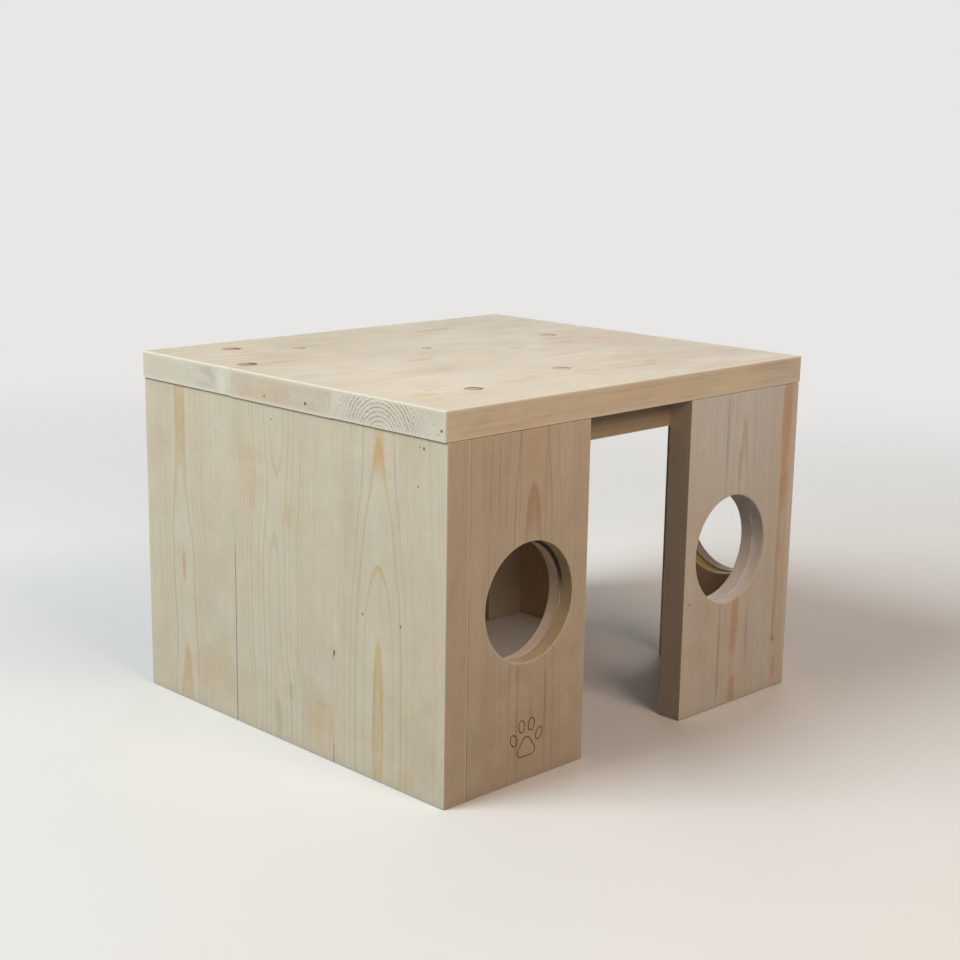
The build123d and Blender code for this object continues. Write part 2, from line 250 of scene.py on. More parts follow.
class Softwood(Shader):
    """Raw softwood on one board.

    The distance from the heart line, with a wobble and a swelling at knots, gives the ring number. Its
    fraction says how late in the year the wood grew: pale early wood, then a darker band that ends sharply.
    """

    def __init__(self, node_name, board):
        self.material = bpy.data.materials.new("softwood_" + node_name)
        super().__init__(self.material)
        self.board = board
        self.seed = board["seed"]
        self.low, self.high = (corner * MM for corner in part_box(node_name))
        self.place = self.place_in_mm()
        self.axes = self.split(self.place)
        self.facing = self.split(self.node("TexCoord", output="Normal"))
        self.along = self.axes[board["grain"]]
        self.across = self.axes[board["width"]]
        outside = (self.high if board["side"] > 0 else self.low)[board["out"]]
        self.depth = (outside - self.axes[board["out"]]) * board["side"]
        self.end = self.step(abs(self.facing[board["grain"]]), 0.75, 0.95)
        self.flat = 1.0 - self.end

        self.torn = self.noise(self.place, TORN, 4.0, 0.65)
        self.pores = self.noise(self.place, PORES, 2.0, 0.6)
        self.ragged = (self.noise(self.place, RAGGED, 2.0, 0.55) - 0.5) * 0.7
        self.fibre = self.drawn_out(FIBRES, 3.0, 0.6)
        self.canals = self.step(self.drawn_out(CANALS, 1.0), 0.71, 0.79) * self.flat
        blotch = self.vector(self.across * 0.05, self.depth * 0.05 + self.seed, self.along * board["blotch"])
        self.mottle = self.noise(blotch, detail=5.0, roughness=0.65)

        self.grow()
        colour = self.end_grain(self.clear_wood())
        colour = self.fibres(colour)
        colour = self.faces(colour)
        colour = self.clouds(colour)
        colour = self.knots(colour)
        colour = self.dots(colour)
        colour = self.arris(colour)
        if board["stands"]:
            colour = self.darken_near_ground(colour)
        colour = self.seams(colour)
        sawn = 0.0
        if "window" in board:
            colour, sawn = self.window(colour)
        if board["burnt_mark"]:
            colour = self.mark(colour)
        self.finish(colour, sawn)

    def drawn_out(self, size, detail=2.0, roughness=0.5):
        """Noise that is drawn out along the grain."""
        fine, coarse = size
        place = self.vector(self.across * fine, self.depth * fine, self.along * coarse + self.seed)
        return self.noise(place, detail=detail, roughness=roughness)

    def moved(self, shift):
        """The place, moved along x, for a noise of its own."""
        return self.vector(self.axes[X] + shift, self.axes[Y], self.axes[Z])

    def line(self, value):
        """A number stays as it is; a list of points becomes a smooth line over the place along the board."""
        return self.curve(self.along, value) if isinstance(value, list) else value

    def grow(self):
        """Finds the distance from the heart line, and the knots as cones from there out to the face."""
        board = self.board
        drift = self.noise(self.vector(self.along * DRIFT, self.seed, 0.0), detail=1.0) - 0.5
        heart = self.line(board["heart"]) + drift * board["drift"]
        deep = self.line(board["deep"])
        beside = self.across - heart
        below = deep - self.depth
        self.beside = beside
        straight = (beside ** 2.0 + below ** 2.0).math("SQRT")
        waves = (self.drawn_out(WAVES) - 0.5) * 5.5 * self.step(straight, 14.0, 46.0)
        ripples = (self.drawn_out(RIPPLES) - 0.5) * 0.6 * self.step(abs(beside), 1.0, 12.0)
        distance = straight + (waves + ripples)

        self.cones = []
        share = (below / deep).math("MAXIMUM", 0.08)
        for at_along, at_across, size, dark in board["knots"]:
            from_middle = (self.along - at_along) / (share * size)
            sideways = (beside - share * (at_across - heart)) / (share * size * 0.9)
            spread = (from_middle ** 2.0 + sideways ** 2.0).math("SQRT") + self.ragged
            distance = distance + self.fade(spread, 0.6, 4.0) * KNOT_SWELL
            self.cones.append((spread, from_middle, dark))
        self.count_rings(distance)

    def count_rings(self, distance):
        """Finds how late in the year the wood grew, and how strong the line of its ring is.

        Away from the heart line good and bad years make the rings unevenly wide, and some hardly show.
        """
        board = self.board
        years = self.noise(self.vector(distance * 0.28, self.seed, 0.0), detail=2.0, roughness=0.6)
        distance = distance + (years - 0.5) * 3.4 * self.step(abs(self.beside), 10.0, 26.0)
        ring = self.curve(distance, board["rings"])
        self.part = ring.math("FRACT")
        count = ring.math("FLOOR")
        luck = self.node("TexWhiteNoise", {"noise_dimensions": "1D"}, {"W": count + self.seed})
        patchy = self.noise(self.vector(self.across * 0.05, self.along * 0.014, count * 3.7 + self.seed))
        outer = self.step(abs(self.beside), 6.0, 20.0)
        darker = self.step(self.part, board["late"] - outer * 0.28, DARKEST)
        self.late = darker * self.fade(self.part, ENDING, 1.0)
        weight = (0.07 + (luck ** 2.0) * 1.05) * (0.30 + patchy * 1.6)
        strong = self.late * (1.0 - outer * (1.0 - weight))
        strong = strong * (1.0 - self.step(abs(self.beside), *board["clustered"]) * 0.65)
        within = 1.0 - self.step(self.depth, 8.0, 16.0) * 0.5
        self.strong = strong * self.line(board["contrast"]) * within

    def clear_wood(self):
        """Cream to rose early wood, lined by late wood."""
        board = self.board
        patches = self.drawn_out(PATCHES, 3.0)
        rosy = self.step(patches, 0.40, 0.66) * 0.5 + board["rosy"]
        clear = self.mix(rosy.math("MINIMUM", 1.0), CREAM, ROSE)
        lined = self.mix(self.step(abs(self.beside), 5.0, 14.0), board["late_colour"], board["line_colour"])
        return self.mix(self.strong, clear, lined)

    def end_grain(self, colour):
        """Fine dark arcs that fade away from the heart, open pores, pale torn fibres and a painted highlight
        beside each arc.
        """
        board = self.board
        gone = self.step(abs(self.beside), ARC_FADES, ARC_GONE)
        arc = self.step(self.part, 0.62, 0.82) * self.fade(self.part, 0.90, 0.98) * (1.0 - gone * 0.75)
        self.arc = arc * (0.15 + self.step(self.torn, 0.38, 0.60) * 0.85) * board["arcs"]
        self.flecks = self.step(self.noise(self.place, FLECKS), 0.665, 0.73) * board["flecks"] * self.end
        raised = self.step(self.noise(self.moved(self.seed), RAISED, 3.0, 0.6), 0.56, 0.66) * board["flecks"]
        cut = self.mix(self.arc, self.tint(board["rosy"] * 0.6, END_CREAM, PINK), END_LATE)
        # Painted highlight on the ridge beside each dark arc.
        arc_highlight = self.step(self.part, 0.28, 0.42) * self.fade(self.part, 0.48, 0.60)
        arc_highlight = arc_highlight * self.step(self.torn, 0.40, 0.62) * board["arcs"] * (1.0 - gone)
        cut = self.mix((raised * 0.5).math("MAXIMUM", arc_highlight * 0.45), cut, PALE_FIBRE_AND_HIGHLIGHT)
        return self.mix(self.end, colour, self.tint(1.0, cut, board["end_tint"]))

    def fibres(self, colour):
        """Fine fibres, wider streaks, blotches and resin canals, all as more or less light."""
        board = self.board
        streak = self.drawn_out(STREAKS, 3.0, 0.6)
        fine = (self.fibre - 0.5) * board["fibres"] + (streak - 0.5) * board["streaks"]
        shade = 1.0 + fine * self.flat
        shade = shade + (self.torn - 0.5) * 0.11 + (self.mottle - 0.5) * board["mottled"]
        shade = shade + ((self.pores - 0.5) * 0.16 + (self.torn - 0.5) * 0.16) * self.end
        shade = shade - self.canals * 0.10 - self.flecks
        return self.dim(colour, shade * board["shade"])

    def faces(self, colour):
        """Tints of the whole board and of its two narrow faces, those of the roof's front board painted
        light, and painted light on the face to the room.
        """
        board = self.board
        colour = self.tint(1.0, colour, board["own_tint"])
        flush = self.step(self.noise(self.moved(-self.seed), FLUSH, 3.0, 0.6), 0.30, 0.75)
        colour = self.tint(board["flush"], colour, self.mix(flush, COOL, WARM))
        narrow = self.step(abs(self.facing[board["width"]]), 0.6, 0.9)
        colour = self.tint(narrow, colour, board["edge_tint"])
        # Painted light on the face to the room.
        if "inner_face" in board:
            inward = self.step(self.facing[board["out"]] * board["side"], -0.6, -0.9)
            colour = self.tint(inward, colour, board["inner_face"])
        return colour

    def clouds(self, colour):
        """Frayed clouds of another tone, some of them painted light and shade: (centre, reach along each
        axis, tint, strength).
        """
        frayed = (self.mottle - 0.5) * 1.5 + (self.fibre - 0.5) * 0.35
        for centre, reach, by, strength in self.board["clouds"]:
            cloud = self.fade(self.away(self.place, centre, reach) + frayed, 0.35, 1.15)
            colour = self.tint(cloud * strength, colour, by)
        return colour

    def knots(self, colour):
        """Brown wood with rings of its own and a dark side, broken bark around it and a pale ring outside.

        Distances from the middle of a knot are counted in its radius.
        """
        for spread, from_middle, dark in self.cones:
            inside = self.fade(spread, 0.85, 1.05)
            ringed = self.step(abs((spread * 4.3).math("FRACT") - 0.5), 0.16, 0.44) * 0.38
            shadow = self.step(from_middle + self.ragged * 2.4, -0.15, 0.50) * self.step(spread, 0.10, 0.55)
            outline = self.step(spread, 0.74, 0.92) * self.step(self.ragged, -0.14, 0.02)
            bark = shadow * 0.85 + outline * 0.85 + ringed
            colour = self.mix(self.fade(spread, 0.9, 2.4) * dark * 0.35, colour, KNOT_HALO)
            colour = self.tint(self.fade(abs(spread - 1.5), 0.0, 0.45) * dark * 0.35, colour, PALE)
            colour = self.mix(inside * dark, colour, KNOT_WOOD)
            colour = self.mix(inside * dark * bark.math("MINIMUM", 1.0), colour, BARK)
        return colour

    def dots(self, colour):
        """Resin, splinters and dents, dark and small: (centre, reach along each axis)."""
        for centre, reach in self.board["dots"]:
            dot = self.fade(self.away(self.place, centre, reach) + self.ragged * 0.6, 0.55, 1.0)
            colour = self.tint(dot * 0.85, colour, DOT)
        return colour

    def arris(self, colour):
        """Rubbed free edges, painted paler also as their highlight: the middle one of the distances to the
        box's faces is the one to an edge.
        """
        board = self.board
        spans = {axis: (self.low[axis], self.high[axis]) for axis in (X, Y, Z)} | board["free"]
        inset = [(self.axes[axis] - spans[axis][0]).math("MINIMUM", spans[axis][1] - self.axes[axis])
                 for axis in (X, Y, Z)]
        nearest = inset[X].math("MINIMUM", inset[Y])
        farther = inset[X].math("MAXIMUM", inset[Y])
        to_edge = nearest.math("MAXIMUM", farther.math("MINIMUM", inset[Z]))
        rubbed = self.fade(to_edge + (self.torn - 0.5) * 1.6, 0.35, board["arris"]) * 0.7
        return self.mix(rubbed, colour, board.get("rub_and_highlight", times(CREAM, board["shade"] * RUBBED_AND_HIGHLIGHT_GAIN)))

    def darken_near_ground(self, colour):
        """Darker towards the ground it stands on."""
        lower_share = self.fade(self.axes[Z] + (self.torn - 0.5) * 5.0, 0.5, DARKER_BELOW)
        return self.dim(colour, 1.0 - lower_share * 0.08)

    def seams(self, colour):
        """Joints with the boards beside it: (place across, strength along the joint)."""
        for seam, strength in self.board["seams"]:
            hair = self.fade(abs(self.across - seam) + (self.torn - 0.5) * 0.3, 0.15, 0.60)
            hair = hair * self.line(strength) * self.step(self.depth, 1.2, 0.5)
            colour = self.mix(hair, colour, GAP_SHADE)
        return colour

    def window(self, colour):
        """Sawn wood inside the window, tinted partly as paler sawn wood and partly as painted light and
        shade, the step between its two cuts painted dark as burn and as its shade, and broken fibres on its
        rim.
        """
        window = self.board["window"]
        lateral, upright = self.axes[window["axis"]], self.axes[Z]
        middle, height = window["centre"]
        radius = ((lateral - middle) ** 2.0 + (upright - height) ** 2.0).math("SQRT")
        near = self.fade(radius, WINDOW_REACH - 0.5, WINDOW_REACH)
        wall = near * self.step(self.depth, 0.3, 0.8)
        wall = wall * self.fade(self.depth, THICKNESS - 0.8, THICKNESS - 0.3)
        inner = self.step(self.depth, BOARD_HALF - 0.1, BOARD_HALF + 0.1)
        from_step = abs(self.depth - BOARD_HALF)

        lines = self.noise(self.vector(self.depth * 1.3, lateral * 0.03, upright * 0.03), 1.0, 3.0, 0.7)
        smear = self.noise(self.vector(self.depth * 0.20, lateral * 0.05, upright * 0.05))
        colour = self.mix(wall * 0.6, colour, END_CREAM)
        # Tints of the two half cuts: the paler sawn wood, with painted light and shade on the bore.
        colour = self.tint(wall * inner, colour, window["inner"])
        colour = self.tint(wall * (1.0 - inner), colour, window["outer"])
        colour = self.dim(colour, 1.0 + wall * ((lines - 0.5) * 0.24 + (smear - 0.5) * 0.24))
        # Painted shade on the face of the step between the cuts, which faces out and takes more light than
        # the bore.
        colour = self.tint(near * self.fade(from_step, 0.1, 0.2), colour, window.get("ledge", WHITE))

        # The step painted dark, partly as wood burnt by the saw and partly as the shade in it, darker at the
        # top.
        step_burn_and_shade = near * self.fade(from_step + (self.torn - 0.5) * 1.4, 0.25, 0.80) * window["burn"]
        step_burn_and_shade = step_burn_and_shade * (0.45 + self.step(upright, height - 8.0, height + 12.0) * 0.55)
        colour = self.mix(step_burn_and_shade, colour, SCORCH_AND_SHADE)
        chipped = self.step(self.noise(self.place, CHIPS, 3.0, 0.6), 0.47, 0.60)
        chips = self.fade(radius, WINDOW_RIM + 0.2, WINDOW_RIM + 1.8) * self.step(self.depth, 1.2, 0.3)
        chips = chips * chipped
        colour = self.mix(chips * 0.85, colour, times(CREAM, CHIPPED_GAIN))
        return colour, wall * (lines - 0.5) * 0.12 - chips * 0.10

    def mark(self, colour):
        """Burnt lines: all that lies a little below the face around the engraved paw."""
        groove = self.step(self.depth, 0.04, 0.14) * self.step(self.depth, 0.5, 0.4)
        groove = groove * self.fade(abs(self.across - MARK_MIDDLE), MARK_HALF_WIDTH - 0.5, MARK_HALF_WIDTH)
        groove = groove * self.fade(self.axes[Z], MARK_HIGH - 1.0, MARK_HIGH)
        groove = groove * self.step(self.axes[Z], MARK_LOW, MARK_LOW + 1.0)
        return self.mix(groove * (0.92 + (self.torn - 0.5) * 0.5), colour, BURNT)

    def finish(self, colour, sawn):
        """Fine relief and a matt, raw surface."""
        height = (self.fibre - 0.5) * 0.05 * self.flat + self.late * 0.025 * self.flat - self.canals * 0.03
        cut = (self.pores - 0.5) * 0.12 + (self.torn - 0.5) * 0.16 - self.arc * 0.14
        height = height + cut * self.end - self.flecks * 0.25 + sawn
        rough = RAW_ROUGHNESS + (self.torn - 0.5) * 0.16 + self.end * 0.14
        rough = rough - self.late * 0.06 + (self.fibre - 0.5) * 0.10
        self.principled({"Base Color": colour, "Roughness": rough, "Normal": self.bump(0.8, 1.0 / MM, height),
                         "Specular IOR Level": 0.35})


def on(face, reach_in, *rows):
    """Clouds or dots on one face, a plane across an axis, which reach so far into the wood.

    Each row has the place along the face's two other axes, the reach along them, and then the rest.
    """
    axis, level = face
    marks = []
    for first, second, first_reach, second_reach, *rest in rows:
        centre = [first, second]
        centre.insert(axis, level)
        reach = [first_reach, second_reach]
        reach.insert(axis, reach_in)
        marks.append((centre, reach, *rest))
    return marks


# Faces of the house: the axis that each lies across, and its place on it. The right-hand side of the bore in
# the right front board is one more.
LEFT_FACE = (X, -168.0)
RIGHT_FACE = (X, 168.0)
FRONT_FACE = (Y, -150.0)
BACK_FACE = (Y, 150.0)
ROOF_TOP = (Z, 237.0)
ROOF_END = (X, -169.0)
BORE_SIDE = (X, 134.6)
DEEP, SHALLOW, DOT_DEPTH = 9.0, 6.0, 3.0

# What each board is told, and what holds where it isn't. Lengths are millimetres.
# grain, width, out: the axes along the grain, across the board and through it; side: which way it faces out
# heart, deep, drift: the heart line's place across the board, its depth below the outside, and how it wanders
# rings, late: ring numbers by distance from the heart line, and how much of a ring is early wood
# contrast, clustered: strength of the ring lines, and between which distances across they grow faint
# rosy, late_colour, line_colour: a rosy ground, late wood in the arches, and in the lines beside them
# arcs, flecks, end_tint: end grain; fibres, streaks, blotch, mottled: grain of the ground
# shade, flush, own_tint, edge_tint, inner_face: lightness and tint of the board and its narrow faces, painted
# light on its room side
# free: from where to where the edges are rubbed along an axis, if that isn't the board's own length or width
# arris, rub: how wide the edges are rubbed, and their colour, which is also a painted highlight; stands:
# darker towards the ground it stands on
# window: the axis across it, its centre, how dark the step is painted as burn and shade, tints of both half
# cuts (sawn tone with painted light and shade) and painted shade on the step
# knots: (place along, place across, size, darkness); seams, clouds, dots, burnt_mark: see Softwood
SOFTWOOD = {
    "drift": 5.0, "late": 0.80, "contrast": 1.0, "clustered": (24.0, 44.0), "rosy": 0.0,
    "late_colour": LATE_WOOD, "line_colour": LATE_GREY, "arcs": 0.45, "flecks": 0.4, "end_tint": WHITE,
    "fibres": 0.15, "streaks": 0.13, "blotch": 0.05, "mottled": 0.17, "shade": 1.0, "flush": 0.45,
    "own_tint": WHITE, "edge_tint": WHITE, "free": {}, "arris": 1.4, "stands": False, "burnt_mark": False,
    "knots": [], "seams": [], "clouds": [], "dots": [],
}
HOUSE_WIDTH = (-168.0, 168.0)
HOUSE_DEPTH = (-150.0, 150.0)
UPRIGHT = (0.0, 260.0)  # beyond the upper ends, which the roof covers
WALL = SOFTWOOD | {
    "stands": True, "width": Y, "grain": Z, "out": X, "mottled": 0.24, "inner_face": ROOM_SIDE_PAINTED_LIGHT,
    "free": {Y: HOUSE_DEPTH, Z: UPRIGHT},
}
FACE = SOFTWOOD | {
    "stands": True, "width": X, "grain": Z, "out": Y, "mottled": 0.24, "inner_face": ROOM_SIDE_PAINTED_LIGHT,
    "free": {X: HOUSE_WIDTH, Z: UPRIGHT},
}
ROOF = SOFTWOOD | {
    "width": Y, "grain": X, "out": Z, "side": 1, "contrast": 0.85, "mottled": 0.36, "flush": 0.5,
    # The roof's wide, pale arris is rubbed wood and a painted highlight along its rounded edges.
    "fibres": 0.26, "streaks": 0.28, "blotch": 0.028, "arris": 3.2, "free": {Y: HOUSE_DEPTH},
    "own_tint": (0.905, 0.922, 0.955, 1), "rub_and_highlight": (0.80, 0.74, 0.62, 1),
}

# Strength of the open joints along the boards: on the walls from the ground up, on the roof from the left.
SEAM_BACK = [(0, 0.75), (105, 0.70), (125, 0.25), (150, 0.10), (220, 0.10)]
SEAM_FRONT = [(0, 0.8), (10, 0.7), (18, 0.1), (66, 0.05), (70, 0.6), (75, 0.05), (220, 0.08)]
SEAM_ROOF = [(-172, 0.5), (-140, 0.35), (-60, 0.15), (-40, 0.0), (172, 0.0)]

BOARDS = {
    "left_wall_board_front": WALL | {
        "side": -1, "seed": 1.3, "heart": -91.5, "drift": 1.5, "clustered": (44, 75),
        "line_colour": (0.62, 0.525, 0.36, 1), "edge_tint": (0.84, 0.80, 0.785, 1),
        "rings": [(0, 0), (8.5, 0.62), (9.3, 0.80), (10.6, 1), (17.1, 2), (23.7, 3), (27.5, 4), (31, 5.2),
                  (60, 20), (110, 48)],
        "deep": [(0, 9.7), (8, 9.55), (20, 9.2), (50, 9.35), (79, 9.95), (89.5, 10.6), (103, 11.9),
                 (120, 14.3), (137.5, 17.1), (160, 19.6), (186, 22.4), (205, 23.2), (225, 23.9)],
        "seams": [(-50.0, SEAM_FRONT)],
        "clouds": on(
            LEFT_FACE, DEEP,
            (-122, 30, 32, 38, TAN, 0.30), (-62, 170, 10, 40, TAN, 0.20),
            (-92.5, 207, 6.5, 24, ORANGE, 0.55), (-91, 50, 5.0, 46, TAN, 0.70),
            (-108, 162, 4, 26, PINK, 0.4), (-52, 88, 4, 11, PALE, 0.7), (-62, 60, 12, 14, PINK, 0.3),
        ),
        "dots": on(
            LEFT_FACE, DOT_DEPTH,
            (-130.6, 212.8, 1.0, 1.3), (-127.0, 213.2, 0.7, 0.8), (-126.0, 190.0, 0.6, 1.2),
            (-77.5, 103.0, 1.0, 1.0), (-111.5, 103.0, 0.9, 1.2), (-50.5, 72.0, 1.2, 2.4),
        ),
    },
    "left_wall_board_middle": WALL | {
        "side": -1, "seed": 4.1, "drift": 0.6, "contrast": 0.8, "late": 0.74,
        "late_colour": (0.60, 0.51, 0.345, 1),
        "heart": [(0, 5.2), (31, 5.2), (60, 8.0), (100, 8.8), (138.7, 8.3), (173, 5.2), (225, 6.5)],
        "rings": [(0, 0), (14.8, 0.6), (16, 1), (18, 2), (20.8, 3), (24, 4), (27, 5), (30, 6), (32.5, 7),
                  (60, 20), (110, 45)],
        "deep": [(0, 15.7), (15, 15.75), (31, 16.0), (45, 16.4), (60, 17.0), (100, 17.1), (120, 17.3),
                 (131, 17.7), (138.7, 18.0), (156, 18.35), (173, 18.0), (180, 17.6), (195, 16.7),
                 (218, 16.1), (225, 16.1)],
        "seams": [(50.0, SEAM_BACK), (-50.0, SEAM_FRONT)],
        "clouds": on(
            LEFT_FACE, DEEP,
            (35, 163, 15, 30, PINK, 0.35), (-34, 30, 18, 26, TAN, 0.35), (-32, 22, 9, 9, PINK, 0.5),
            (-34, 35, 10, 1.6, GREY, 0.5), (-14, 58, 2.4, 10, ORANGE, 0.5),
            (-5.5, 150, 2.4, 9, ORANGE, 0.4), (31, 153, 2.4, 8, ORANGE, 0.3), (-8, 35, 3, 7, OLIVE, 0.8),
            (8, 26, 2.5, 12, OLIVE, 0.7), (40, 190, 9, 30, OLIVE, 0.25),
        ),
        "dots": on(
            LEFT_FACE, DOT_DEPTH,
            (10.3, 209.9, 0.9, 0.7),
        ),
    },
    "left_wall_board_back": WALL | {
        "side": -1, "seed": 7.7, "drift": 0.8, "late": 0.78, "late_colour": (0.63, 0.515, 0.36, 1),
        "heart": [(0, 107.5), (43, 106), (78, 108), (105, 108.5), (140, 111), (171, 110), (225, 109.5)],
        "rings": [(0, 0), (12.8, 0.78), (15.2, 1), (18.6, 1.8), (20, 2), (22.4, 3), (24.2, 4), (26.4, 5),
                  (28.3, 6), (60, 22), (110, 50)],
        "deep": [(0, 13.1), (10, 13.6), (30, 14.6), (43, 15.2), (60, 15.5), (75, 15.25), (92, 14.95),
                 (105, 15.2), (115, 15.6), (125, 16.6), (140, 17.9), (150, 18.4), (165, 18.75),
                 (180, 18.95), (225, 18.9)],
        "seams": [(50.0, SEAM_BACK)],
        "clouds": on(
            LEFT_FACE, DEEP,
            (110, 196, 6.5, 38, (0.97, 0.85, 0.68, 1), 0.6), (75, 30, 30, 24, TAN, 0.3),
            (135, 165, 12, 30, PINK, 0.25), (108.3, 96, 2.4, 14, RUST, 0.85),
            (104, 14, 2.5, 14, OLIVE, 0.6), (107, 18, 4.5, 32, ORANGE, 0.5),
        ),
    },
    "back_wall_board_left": FACE | {
        "side": 1, "seed": 9.2, "rings": growth(3.6), "heart": -88.0, "late": 0.74,
        "deep": [(0, 12.0), (40, 13.4), (80, 14.2), (140, 17.5), (180, 18.2), (225, 21.5)],
        "knots": [(150.0, -118.0, 7.0, 0.85)],
        "clouds": on(
            BACK_FACE, DEEP,
            (-125, 60, 20, 45, TAN, 0.3), (-60, 180, 14, 30, PINK, 0.35),
        ),
    },
    "back_wall_board_middle": FACE | {
        "side": 1, "seed": 12.9, "rings": growth(3.1), "heart": [(0, 14), (225, -4)], "late": 0.76,
        "deep": [(0, 17.0), (60, 15.6), (110, 17.0), (160, 20.0), (200, 18.5), (225, 17.0)],
        "knots": [(62.0, 21.0, 6.0, 0.75)],
        "clouds": on(
            BACK_FACE, DEEP,
            (-30, 150, 14, 40, OLIVE, 0.3), (20, 30, 16, 28, PINK, 0.3),
        ),
    },
    "back_wall_board_right": FACE | {
        "side": 1, "seed": 15.4, "rings": growth(3.9), "heart": 96.0, "rosy": 0.1, "late": 0.72,
        "deep": [(0, 23.0), (60, 20.5), (110, 19.6), (160, 16.0), (225, 14.0)],
        "clouds": on(
            BACK_FACE, DEEP,
            (130, 110, 12, 50, TAN, 0.35),
        ),
    },
    "right_wall_board_front": WALL | {
        "free": {Z: UPRIGHT}, "side": 1, "seed": 18.6, "rings": growth(3.5), "heart": -96.0, "late": 0.76,
        "window": {"axis": Y, "centre": (-100.0, 112.5), "burn": 0.7, "inner": (1.18, 0.99, 0.56, 1),
                   "outer": (1.16, 1.14, 1.22, 1)},
        "deep": [(0, 12.0), (70, 14.0), (150, 17.5), (190, 18.0), (225, 21.0)],
        "knots": [(188.0, -66.0, 5.0, 0.6)], "edge_tint": (1.0, 0.985, 1.05, 1),
        "clouds": on(
            FRONT_FACE, DEEP,
            (156, 190, 6.0, 75, (0.90, 0.74, 0.62, 1), 0.85),
            (153, 100, 3.0, 60, (0.85, 0.77, 0.70, 1), 0.65),
            (168, 110, 7.0, 140, (1.08, 1.17, 1.33, 1), 1.0),
            (152, 52, 1.6, 14, (0.80, 0.62, 0.50, 1), 0.7),
            (151, 36, 4.0, 1.6, (0.62, 0.46, 0.38, 1), 0.8), (155, 16, 3.5, 10, (0.84, 0.74, 0.66, 1), 0.7),
        ),
    },
    "right_wall_board_back": WALL | {
        "free": {Z: UPRIGHT}, "side": 1, "seed": 21.5, "rings": growth(3.2), "heart": 92.0, "late": 0.78,
        "deep": [(0, 20.0), (100, 17.5), (160, 16.0), (225, 12.0)], "knots": [(96.0, 118.0, 7.0, 0.8)],
        "clouds": on(
            RIGHT_FACE, DEEP,
            (75, 190, 14, 34, TAN, 0.35), (120, 40, 18, 30, PINK, 0.3),
        ),
    },
    "front_board_left": FACE | {
        "free": {X: (-168.0, -48.0), Z: UPRIGHT}, "side": -1, "seed": 24.8, "rosy": 0.85, "shade": 0.87,
        "own_tint": (1.0, 1.03, 1.045, 1), "drift": 0.8, "late": 0.78,
        "late_colour": (0.56, 0.415, 0.28, 1), "line_colour": (0.545, 0.42, 0.295, 1),
        "clustered": (38, 70),
        "contrast": [(0, 0.5), (80, 0.5), (140, 0.5), (165, 0.8), (190, 0.8), (225, 0.8)],
        "streaks": 0.17, "heart": [(0, -95.5), (60, -95.5), (150, -96.5), (225, -97)],
        "rings": [(0, 1), (17.0, 1.3), (18.9, 1.76), (20.3, 2), (25.4, 3), (28.5, 4), (60, 20), (110, 44)],
        "deep": [(0, 15.7), (75, 15.7), (110, 17.0), (150, 18.8), (165, 19.3), (181, 19.85), (191, 20.6),
                 (200, 21.2), (225, 22.2)],
        "window": {"axis": X, "centre": (-98.4, 113.0), "burn": 0.95, "inner": (1.20, 1.18, 1.30, 1),
                   "outer": (0.90, 0.86, 0.74, 1)},
        "seams": [(-150.0, [(0, 0.9), (105, 0.75), (130, 0.45), (225, 0.35)])],
        "clouds": on(
            FRONT_FACE, DEEP,
            (-130, 195, 20, 30, TAN, 0.25), (-95.5, 42, 2.2, 9, OLIVE, 0.9),
            (-97.5, 172, 7.5, 17, RUST, 0.40), (-129.5, 29.5, 4, 2.5, GREY, 0.6),
            (-70, 200, 14, 34, PALE, 0.45), (-62, 40, 12, 30, PALE, 0.4), (-98, 205, 8, 16, PINK, 0.35),
            (-108.2, 44, 1.1, 40, LINE, 0.85), (-83.2, 46, 1.1, 34, LINE, 0.85),
            (-108.6, 190, 0.8, 44, LINE, 0.55), (-86.6, 192, 1.0, 46, LINE, 0.45),
            (-126, 192, 1.0, 34, LINE, 0.45), (-132.7, 190, 0.8, 28, LINE, 0.4),
            (-138.6, 196, 1.1, 26, LINE, 0.45), (-120.6, 188, 0.8, 30, LINE, 0.4),
            # The wide cloud reaching up from below the ground is painted shade: the board darker towards the
            # bottom.
            (-143, 120, 5, 60, PALE, 0.3), (-98, -10, 80, 100, (0.925, 0.88, 0.86, 1), 0.9),
            (-155, 110, 3.0, 120, GREY, 0.5),
        ),
        "burnt_mark": True,
    },
    "front_board_right": FACE | {
        "free": {X: (50.0, 168.0), Z: UPRIGHT}, "side": -1, "seed": 28.1, "rosy": 0.35, "drift": 0.6,
        "late": 0.78, "late_colour": (0.61, 0.47, 0.31, 1), "line_colour": (0.57, 0.46, 0.33, 1),
        "own_tint": (1.0, 1.08, 1.24, 1), "edge_tint": (0.90, 0.84, 0.79, 1), "streaks": 0.17,
        "contrast": [(0, 0.45), (80, 0.5), (150, 0.55), (185, 0.75), (225, 0.6)],
        "heart": [(0, 108), (25, 106.5), (73, 107), (150, 108.8), (225, 108.8)],
        "rings": [(0, 0), (19.2, 0.8), (20, 1), (21.9, 2), (23.2, 3), (26.5, 4), (28.2, 5), (31, 6),
                  (60, 19), (110, 42)],
        "deep": [(0, 19.6), (12, 19.8), (25, 19.92), (45, 19.75), (73, 19.45), (85, 19.2), (110, 18.9),
                 (150, 19.05), (182, 19.6), (201, 20.0), (212, 20.3), (225, 20.4)],
        # Its bore is painted paler, partly as sawn wood and partly as light in it; its step's face gets
        # painted shade.
        "window": {"axis": X, "centre": (98.5, 111.3), "burn": 0.0, "inner": (1.15, 1.23, 1.46, 1),
                   "outer": (1.15, 1.22, 1.44, 1), "ledge": (0.62, 0.61, 0.62, 1)},
        "clouds": on(
            FRONT_FACE, DEEP,
            (100, 205, 80, 70, (1.035, 1.10, 1.20, 1), 1.0), (107, 62, 5.2, 34, RUST, 0.85),
